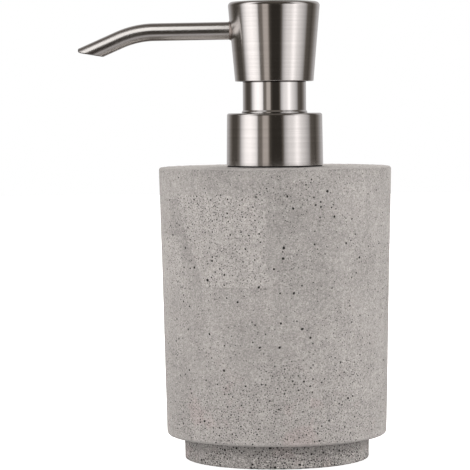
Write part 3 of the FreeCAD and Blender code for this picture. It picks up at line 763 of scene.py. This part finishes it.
def steel(name, tone, roughness, lines, stretch, anisotropic=0.0, turn=0.0, tint=None, along=None,
          overhung=None):
    """Stainless steel with a drawn grain: stretch is small along the grain and large across it.

    lines is how far the grain changes the tone; tint is (spot, reach, colour) of the heat by a weld;
    along names the mesh's own coordinates that the grain follows, and brings painted shade along the
    spout's cut edge; overhung is the height of the rim that the steel slides under, with a thin painted
    shadow line just below it. Narrow gaps get painted shade from an ambient-occlusion node.
    """
    g = Graph(name)
    world_place = g.place
    if along:
        g.place = g.attribute(along, "Vector")
    grain = g.noise(1.0, 3.0, 0.65, g.stretched(stretch))
    long_grain = g.noise(1.0, 2.0, 0.5, g.stretched([s * 0.22 for s in stretch]))
    smudge = g.noise(110, 3.0, 0.5)
    level = g.remap(grain, 0.3, 0.7, 1 - lines, 1 + lines)
    level = g.times(level, g.remap(long_grain, 0.3, 0.7, 1 - lines * 0.6, 1 + lines * 0.6))
    colour = g.shaded(tone, level)
    # Painted shade in narrow gaps and under overhangs, from an ambient-occlusion node.
    open_sky = g.node("ShaderNodeAmbientOcclusion", {"Distance": 4 * MM}, samples=12).outputs["AO"]
    gap_shade_mask = g.remap(open_sky, 0.5, 0.62, 0.6, 0.0, smooth=True)
    colour = g.mix(gap_shade_mask, colour, GAP_SHADE)
    rough = g.remap(smudge, 0.35, 0.65, roughness * 0.9, roughness * 1.12)
    rough = g.times(rough, g.remap(grain, 0.3, 0.7, 0.9, 1.12))
    g.place = world_place
    # A thin painted shadow line on the steel just below the rim that overhangs it.
    if overhung:
        rim_shadow_mask = g.remap(g.axes()[2], overhung - 0.5 * MM, overhung - 0.25 * MM, smooth=True)
        colour = g.mix(g.times(rim_shadow_mask, 0.9), colour, RIM_SHADOW)
    # Painted shade along the spout's cut edge.
    if along:
        colour = g.mix(g.times(g.attribute("cut_edge"), 0.7), colour, CUT_EDGE_SHADE)
    if tint:
        spot, reach, shade_to = tint
        patchy = g.remap(g.noise(420, 2.0, 0.5), 0.3, 0.7, 0.65, 1.0)
        near = g.times(g.near(spot, reach), patchy)
        colour = g.mix(near, colour, shade_to)
        rough = g.plus(rough, g.times(near, 0.07))
    return bare_metal(g, colour, rough, grain, anisotropic, turn)


def turned_steel(name, tone, roughness, lines):
    """Stainless steel faced on a lathe: fine rings about the dispenser's own axis."""
    g = Graph(name)
    away = g.vector_math("LENGTH", g.vector_math("MULTIPLY", g.place, (1, 1, 0)), output="Value")
    rings_at = g.node("ShaderNodeCombineXYZ", {0: away, 1: 0.0, 2: 0.0}).outputs[0]
    wander = g.vector_math("MULTIPLY", g.place, (0.012, 0.012, 0))
    grain = g.noise(2600, 3.0, 0.65, g.vector_math("ADD", rings_at, wander))
    colour = g.shaded(tone, g.remap(grain, 0.3, 0.7, 1 - lines, 1 + lines))
    rough = g.remap(g.noise(130, 3.0), 0.35, 0.65, roughness * 0.9, roughness * 1.12)
    return bare_metal(g, colour, rough, grain, 0.6, 0.25)


def moulded(name, tone, roughness, coat=0.0, clear=0.0):
    """Moulded plastic or rubber: faint flow clouds and a fine eroded skin."""
    g = Graph(name)
    flow = g.noise(140, 3.0, 0.5)
    skin = g.noise(3200, 2.0, 0.5)
    g.fill(g.shader.inputs["Base Color"], g.shaded(tone, g.remap(flow, 0.3, 0.7, 0.94, 1.05)))
    g.fill(g.shader.inputs["Roughness"], g.remap(flow, 0.3, 0.7, roughness * 0.9, roughness * 1.1))
    g.shader.inputs["Coat Weight"].default_value = coat
    g.shader.inputs["Transmission Weight"].default_value = clear
    g.bump(skin, 0.006 * MM, 0.4)
    return g.material


# The spout's centre line, in mm and degrees: the design's own numbers.
SPOUT_ROOT = (2.0, 147.8)
SPOUT_BEND_X = 41.1
SPOUT_DROOP, SPOUT_FALL = math.radians(0.6), math.radians(23.7)
SPOUT_BEND_RADIUS = 31.2
SPOUT_WALL = 0.5
# The oblique cut: a point that it goes through, its slope, and how far out the nose reaches.
TIP_CUT = (65.3, 140.15, math.radians(9.8))
TIP_X = 67.4
# The tip's lip: its rounding in mm, the length of painted shade behind it, and the rings that carry the
# painted shade.
LIP, SHADE_BACK, LIP_RINGS = 0.17, 0.45, 6


def spout_stations():
    """(distance, reach out, height, fall angle) at each ring before the last straight run."""
    made = []
    out, height = SPOUT_ROOT
    straight = SPOUT_BEND_X - out
    straight_steps, bend_steps = 8, 18
    for i in range(straight_steps + 1):
        run = straight * i / straight_steps
        drop = run * math.tan(SPOUT_DROOP)
        made.append((run / math.cos(SPOUT_DROOP), out + run, height - drop, SPOUT_DROOP))
    start, out, height, _ = made[-1]
    for i in range(1, bend_steps + 1):
        fall = lerp(SPOUT_DROOP, SPOUT_FALL, i / bend_steps)
        made.append((
            start + SPOUT_BEND_RADIUS * (fall - SPOUT_DROOP),
            out + SPOUT_BEND_RADIUS * (math.sin(fall) - math.sin(SPOUT_DROOP)),
            height - SPOUT_BEND_RADIUS * (math.cos(SPOUT_DROOP) - math.cos(fall)),
            fall,
        ))
    return made


def make_spout():
    """The bent tube, its tip cut oblique with a rounded lip, and its bore open to the root."""
    spout_low, spout_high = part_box("spout_tube")
    outer = (spout_high.y - spout_low.y) / 2 / MM
    inner = outer - SPOUT_WALL
    stations = spout_stations()
    steps, last_rings = 72, 14
    angles = [TAU * i / steps for i in range(steps)]

    def place(reach, height, fall, radius, angle):
        up = radius * math.cos(angle)
        return Vector((
            -(reach + up * math.sin(fall)), radius * math.sin(angle), height + up * math.cos(fall),
        )) * MM

    def run_to_cut(radius, angle):
        """How far a generator of the last straight run goes before the cut."""
        _, reach, height, fall = stations[-1]
        up = radius * math.cos(angle)
        x, z = reach + up * math.sin(fall), height + up * math.cos(fall)
        cut_x, cut_z, slope = TIP_CUT
        above_cut = z - cut_z - (x - cut_x) * math.tan(slope)
        to_cut = above_cut / (math.sin(fall) + math.tan(slope) * math.cos(fall))
        to_nose = (TIP_X - x) / math.cos(fall)
        blend = 0.35
        return -blend * math.log(math.exp(-to_cut / blend) + math.exp(-to_nose / blend))

    def ring_before(station, radius):
        distance, reach, height, fall = station
        return [(place(reach, height, fall, radius, a), distance, radius, a) for a in angles]

    def ring_after(share, radius, back, skin):
        """A ring on the last run; skin is the wall face whose cut it follows."""
        distance, reach, height, fall = stations[-1]
        made = []
        for angle in angles:
            run = (run_to_cut(radius, angle) - back) * share
            out, down = run * math.cos(fall), run * math.sin(fall)
            spot = place(reach + out, height - down, fall, radius, angle)
            made.append((spot, distance + run, skin, angle))
        return made

    rings = [ring_before(station, outer) for station in stations]
    rings += [ring_after(k / last_rings, outer, LIP, outer) for k in range(1, last_rings)]
    rings.append(ring_after(1.0, outer, LIP + SHADE_BACK, outer))
    cut_starts = len(rings)
    rings += [
        ring_after(1.0, outer, LIP, outer),
        ring_after(1.0, outer - 0.3 * LIP, 0.3 * LIP, outer),
        ring_after(1.0, outer - LIP, 0.0, outer),
        ring_after(1.0, inner + 0.8 * LIP, 0.0, outer),
        ring_after(1.0, inner + 0.24 * LIP, 0.3 * LIP, inner),
    ]
    rings += [ring_after(k / last_rings, inner, LIP, inner) for k in range(last_rings, 0, -1)]
    rings += [ring_before(station, inner) for station in reversed(stations)]
    form = bmesh.new()
    grain = form.verts.layers.float_vector.new("grain")
    # cut_edge marks the rings at the tip that get painted shade.
    cut_shade = form.verts.layers.float.new("cut_edge")
    verts = []
    for n, ring in enumerate(rings):
        row = []
        for spot, distance, radius, angle in ring:
            vert = form.verts.new(spot)
            vert[grain] = Vector((distance, radius * math.cos(angle), radius * math.sin(angle))) * MM
            vert[cut_shade] = float(cut_starts <= n < cut_starts + LIP_RINGS)
            row.append(vert)
        verts.append(row)
    join_rings(form, verts)
    piece = smooth_piece("spout", form)
    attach(piece, "head")
    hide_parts("spout_tube")
    return piece


def make_weld():
    """A small concave fillet where the spout runs into the tapered head."""
    top_radius, head_low, head_high = size_of("head_shell")
    low_radius = 13.5 * MM
    spout_low, spout_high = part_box("spout_tube")
    weld_low, weld_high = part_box("spout_weld")
    tube = (spout_high.y - spout_low.y) / 2
    axis_z = (weld_low.z + weld_high.z) / 2
    reach, sink = 0.85 * MM, 0.12 * MM
    rng = random.Random(5)

    def on_head(y, z):
        radius = lerp(low_radius, top_radius, (z - head_low) / (head_high - head_low))
        return Vector((-math.sqrt(radius * radius - y * y), y, z))

    form = bmesh.new()
    rings = []
    steps, curve_steps = 72, 6
    for i in range(steps):
        angle = TAU * i / steps
        out = Vector((0, math.sin(angle), math.cos(angle)))
        swell = reach * (1 + 0.10 * noise.noise(out * 4.0) + 0.03 * rng.uniform(-1, 1))
        corner = on_head(out.y * tube, axis_z + out.z * tube)
        start = corner - Vector((swell, 0, 0))
        finish = on_head(out.y * (tube + swell), axis_z + out.z * (tube + swell))
        section = [
            start * (1 - t) ** 2 + corner * 2 * t * (1 - t) + finish * t * t
            for t in (k / curve_steps for k in range(curve_steps + 1))
        ]
        into_head = Vector((sink, 0, 0))
        section += [finish + into_head, corner - out * sink + into_head, start - out * sink]
        rings.append([form.verts.new(p) for p in section])
    join_rings(form, rings)
    piece = smooth_piece("weld_fillet", form)
    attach(piece, "head")
    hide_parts("spout_weld")
    return piece


# --- Return spring ---
SPRING_TURNS = 7
STEPS_PER_TURN = 40
WIRE_SIDES = 12
WIRE_RADIUS = 0.45 * MM


def make_return_spring():
    """Turns of round wire in a mesh of their own."""
    low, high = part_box("return_spring")
    coil_radius = (high.y - low.y) / 2 - WIRE_RADIUS
    rise = high.z - low.z - 2 * WIRE_RADIUS
    slope = rise / (SPRING_TURNS * TAU)
    form = bmesh.new()
    rings = []
    steps = SPRING_TURNS * STEPS_PER_TURN
    for i in range(steps + 1):
        angle = TAU * i / STEPS_PER_TURN
        out = Vector((math.cos(angle), math.sin(angle), 0))
        along = Vector((-coil_radius * out.y, coil_radius * out.x, slope)).normalized()
        up = out.cross(along)
        centre = out * coil_radius + Vector((0, 0, low.z + WIRE_RADIUS + slope * angle))
        ring = []
        for k in range(WIRE_SIDES):
            turn = TAU * k / WIRE_SIDES
            from_axis = out * math.cos(turn) + up * math.sin(turn)
            ring.append(form.verts.new(centre + WIRE_RADIUS * from_axis))
        rings.append(ring)
    join_rings(form, rings, closed=False)
    form.faces.new(rings[0])
    form.faces.new(rings[-1])
    piece = smooth_piece("coil_spring", form)
    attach(piece, "pump_frame")
    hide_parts("return_spring")
    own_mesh(piece)
    return piece


# --- Studio ---
# What stands round the dispenser at its own level, as (degrees from the camera's side towards +X,
# brightness, warmth if any): two large softboxes, a strip beside the camera, and black flags
# between them.
SURROUND = (
    (-180, 0.62), (-150, 0.50), (-132, 0.20), (-122, 0.08), (-104, 0.08),
    (-95, 0.22), (-87, 0.85), (-75, 1.45), (-62, 1.60), (-50, 1.35), (-44, 0.98),
    (-41, 0.20), (-32, 0.20, 0.04), (-28, 0.56, 0.07), (-18, 0.56, 0.07), (-13, 0.08),
    (-6, 0.033), (14, 0.033), (19, 0.12), (24, 0.60), (33, 1.00), (44, 1.15),
    (54, 1.60), (66, 1.05), (78, 0.78), (88, 0.50), (96, 0.12), (114, 0.08),
    (126, 0.20), (146, 0.55), (180, 0.62),
)
# The same in front of the dispenser, from straight below to straight above, in degrees.
OVER_AND_UNDER = (
    (-90, 0.10), (-76, 0.14), (-62, 0.32), (-50, 0.52), (-42, 0.56), (-34, 0.42),
    (-23, 0.09), (3, 0.06), (14, 0.06), (40, 0.08), (66, 0.14), (78, 0.13),
    (90, 0.10),
)


class WorldGraph(Graph):
    """A world's node tree."""

    def __init__(self, name):
        world = bpy.data.worlds.new(name)
        bpy.context.scene.world = world
        world.use_nodes = True
        self.tree = world.node_tree
        self.tree.nodes.clear()
        self.place = self.tree.nodes.new("ShaderNodeTexCoord").outputs["Generated"]

    def ramp(self, value, stops, low, high):
        """A colour read from (degrees, brightness, warmth where it isn't 0) stops."""
        share = self.remap(value, low, high)
        made = self.node("ShaderNodeValToRGB", {0: share})
        ramp = made.color_ramp
        while len(ramp.elements) > 1:
            ramp.elements.remove(ramp.elements[0])
        for i, (degrees, *shade) in enumerate(stops):
            place = (degrees - low) / (high - low)
            stop = ramp.elements.new(place) if i else ramp.elements[0]
            stop.position = place
            stop.color = grey(*shade)
        return made.outputs["Color"]


def studio_surround():
    """What the steel mirrors: the surround at its own level, the front above and below, the sides."""
    g = WorldGraph("studio")
    x, y, z = g.axes()
    around = g.degrees_around(x, y)
    up = g.times(g.math("ARCSINE", z), 180 / math.pi)
    level = g.ramp(around, SURROUND, -180, 180)
    front = g.ramp(up, OVER_AND_UNDER, -90, 90)

    def off_level(from_top, to_top, from_low, to_low):
        """0 about the horizon, rising to 1 between two angles above it and two below it."""
        above = g.remap(up, from_top, to_top, smooth=True)
        return g.larger(above, g.remap(up, to_low, from_low, 1.0, 0.0, smooth=True))

    facing = g.remap(g.math("ABSOLUTE", around), 40, 75, 1.0, 0.0, smooth=True)
    value = g.mix(g.times(off_level(2, 14, -24, -38), facing), level, front)
    aside = g.times(off_level(35, 70, -22, -45), g.minus(1.0, facing))
    sideways = g.remap(g.math("ABSOLUTE", x), 0.44, 0.6, smooth=True)
    over = g.times(sideways, g.remap(z, 0.0, 0.2))
    value = g.mix(aside, value, g.mix(over, grey(0.11), grey(0.55)))
    tint = g.mix(g.remap(value, 0.0, 0.4), (1.16, 1.0, 0.84, 1), (1.02, 0.987, 0.988, 1))
    value = g.mix(1.0, value, tint, "MULTIPLY")
    back = g.node("ShaderNodeBackground", {"Color": value, "Strength": 1.0})
    out = g.node("ShaderNodeOutputWorld")
    g.tree.links.new(back.outputs[0], out.inputs["Surface"])


def stage_set():
    """A plain pale floor, and a plain white backdrop that only the camera sees."""
    form = bmesh.new()
    bmesh.ops.create_circle(form, cap_ends=True, segments=96, radius=2.5)
    floor = piece_of("floor", form)
    g = Graph("pale_floor")
    tone = g.mix(g.remap(g.noise(3.0, 2.0), 0.3, 0.7, 0.0, 1.0), grey(0.86), grey(0.9))
    g.fill(g.shader.inputs["Base Color"], tone)
    g.shader.inputs["Roughness"].default_value = 0.9
    g.shader.inputs["Specular IOR Level"].default_value = 0.1
    g.shader.inputs["Emission Color"].default_value = grey(1.0)
    # The floor glows a little: close round the foot, where it lies in shadow, and far away.
    away = g.vector_math("LENGTH", g.place, output="Value")
    by_foot = g.remap(away, 0.042, 0.075, 0.86, 0.0, smooth=True)
    far_off = g.remap(away, 0.2, 0.9, 0.44, 1.0, smooth=True)
    g.fill(g.shader.inputs["Emission Strength"], g.larger(by_foot, far_off))
    dress(floor, g.material)
    floor.visible_glossy = False
    form = bmesh.new()
    bmesh.ops.create_uvsphere(form, u_segments=48, v_segments=24, radius=6.0)
    backdrop = piece_of("backdrop", form)
    g = Graph("white_backdrop")
    glow = g.node("ShaderNodeEmission", {"Color": (1, 1, 1, 1), "Strength": 1.0})
    g.tree.links.new(glow.outputs[0], g.tree.nodes["Material Output"].inputs["Surface"])
    dress(backdrop, g.material)
    for ray in ("diffuse", "glossy", "transmission", "volume_scatter", "shadow"):
        setattr(backdrop, "visible_" + ray, False)


def area_light(name, place, aim, size, power, only_on=()):
    """A softbox that lights the dull pieces; or, with only_on, one seen in the gloss of those."""
    data = bpy.data.lights.new(name, "AREA")
    data.shape = "RECTANGLE"
    data.size, data.size_y = size
    data.energy = power
    light = linked(name, data)
    light.location = place
    light.rotation_euler = (Vector(aim) - Vector(place)).to_track_quat("-Z", "Y").to_euler()
    light.visible_glossy = bool(only_on)
    light.visible_diffuse = not only_on
    light.visible_camera = False
    if only_on:
        lit = bpy.data.collections.new("lit_by_" + name)
        for piece in only_on:
            lit.objects.link(piece)
        light.light_linking.receiver_collection = lit


def camera():
    """Level with the collar, looking a little down, with the head leaning a touch to the left."""
    data = bpy.data.cameras.new("camera")
    data.sensor_width = 36
    data.lens = 187.66
    data.clip_end = 20
    eye = linked("camera", data)
    eye.location = (-0.01397, -0.845, 0.1222)
    down, lean = math.radians(3.04), math.radians(0.47)
    turn = Matrix.Rotation(math.pi / 2 - down, 4, "X") @ Matrix.Rotation(-lean, 4, "Z")
    eye.rotation_euler = turn.to_euler()
    bpy.context.scene.camera = eye
    bpy.context.scene.view_settings.view_transform = "Standard"


# --- Make it ---
camera()
studio_surround()
stage_set()
mid_body = (0, 0, 0.06)
area_light("overhead", (-0.03, 0.45, 1.2), (0, 0, 0), (1.4, 1.2), 25.0)
area_light("front_fill", (0, -1.3, 0.85), mid_body, (1.4, 0.7), 4.5)
area_light("left_box", (-1.1, 0.15, 0.25), mid_body, (0.9, 1.0), 0.9)
area_light("right_box", (1.1, 0.15, 0.25), mid_body, (0.9, 1.0), 3.3)

dress(make_concrete_body(),
      concrete("fair_faced_concrete", (0.345, 0.326, 0.310, 1), 0.13, True, BODY_EDGE_SHADE))
dress(make_concrete_foot(),
      concrete("foot_concrete", (0.32, 0.302, 0.287, 1), 0.26, False, FOOT_EDGE_SHADE))

spout = make_spout()
weld_tint = (-16.5 * MM, 0, 147.6 * MM)
dress(spout, steel("spout_steel", (0.60, 0.575, 0.555, 1), 0.23, 0.03, (45, 1500, 1500),
                   tint=(weld_tint, 4.0 * MM, (0.46, 0.40, 0.37, 1)), along="grain"))
weld = make_weld()
dress(weld, steel("weld_steel", (0.33, 0.285, 0.26, 1), 0.34, 0.05, (600, 600, 600)))

# One strip light for the spout at rest, and its mirror image for the spout turned half round.
for side, x in (("left", -0.128), ("right", 0.128)):
    place, aim = (x, -0.219, 0.353), (x, 0, 0.148)
    area_light("spout_strip_" + side, place, aim, (0.224, 0.25), 0.25, (spout, weld))

dress(make_return_spring(), steel("spring_steel", grey(0.55), 0.3, 0.04, (900, 900, 900)))

STEEL = (0.62, 0.6, 0.582, 1)
BRUSHED, QUARTER_TURN = 0.65, 0.25
weld_spot = (-15.2 * MM, 0, 147.7 * MM)
around_z = (14, 14, 3100)
materials = {
    "head_shell": steel("brushed_head", STEEL, 0.14, 0.07, around_z, BRUSHED, QUARTER_TURN,
                        (weld_spot, 6.5 * MM, (0.34, 0.29, 0.265, 1))),
    "head_top_disc": turned_steel("turned_top", (0.68, 0.66, 0.64, 1), 0.34, 0.07),
    "collar_shell": steel("brushed_collar", STEEL, 0.13, 0.07, around_z, BRUSHED, QUARTER_TURN),
    "sleeve": steel("polished_sleeve", (0.66, 0.645, 0.63, 1), 0.07, 0.012, around_z,
                     overhung=size_of("head_shell")[1]),
    "inlet_ball": steel("ball_steel", grey(0.66), 0.06, 0.01, (400, 400, 400)),
    "foot_pad": moulded("pad_rubber", grey(0.03), 0.85),
    "neck_washer": moulded("washer_rubber", grey(0.02), 0.7),
    "inner_bottle": moulded("liner_plastic", (0.78, 0.78, 0.75, 1), 0.4),
    "closure_cap": moulded("cap_plastic", grey(0.025), 0.45),
    "head_core": moulded("core_plastic", grey(0.02), 0.5),
    "housing_gasket": moulded("gasket_foam", (0.7, 0.7, 0.68, 1), 0.8),
    "dip_tube": moulded("tube_plastic", (0.8, 0.81, 0.81, 1), 0.3, 0.0, 0.35),
    "spout_liner": moulded("liner_tube_plastic", (0.75, 0.76, 0.76, 1), 0.35),
    "piston": moulded("piston_plastic", (0.62, 0.68, 0.74, 1), 0.4),
}
pump_plastic = moulded("pump_plastic", (0.82, 0.82, 0.81, 1), 0.28, 0.2)
for node in ("pump_housing", "stem_guide", "ball_cage", "valve_rod", "stem"):
    materials[node] = pump_plastic
for node, material in materials.items():
    dress(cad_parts[node], material)
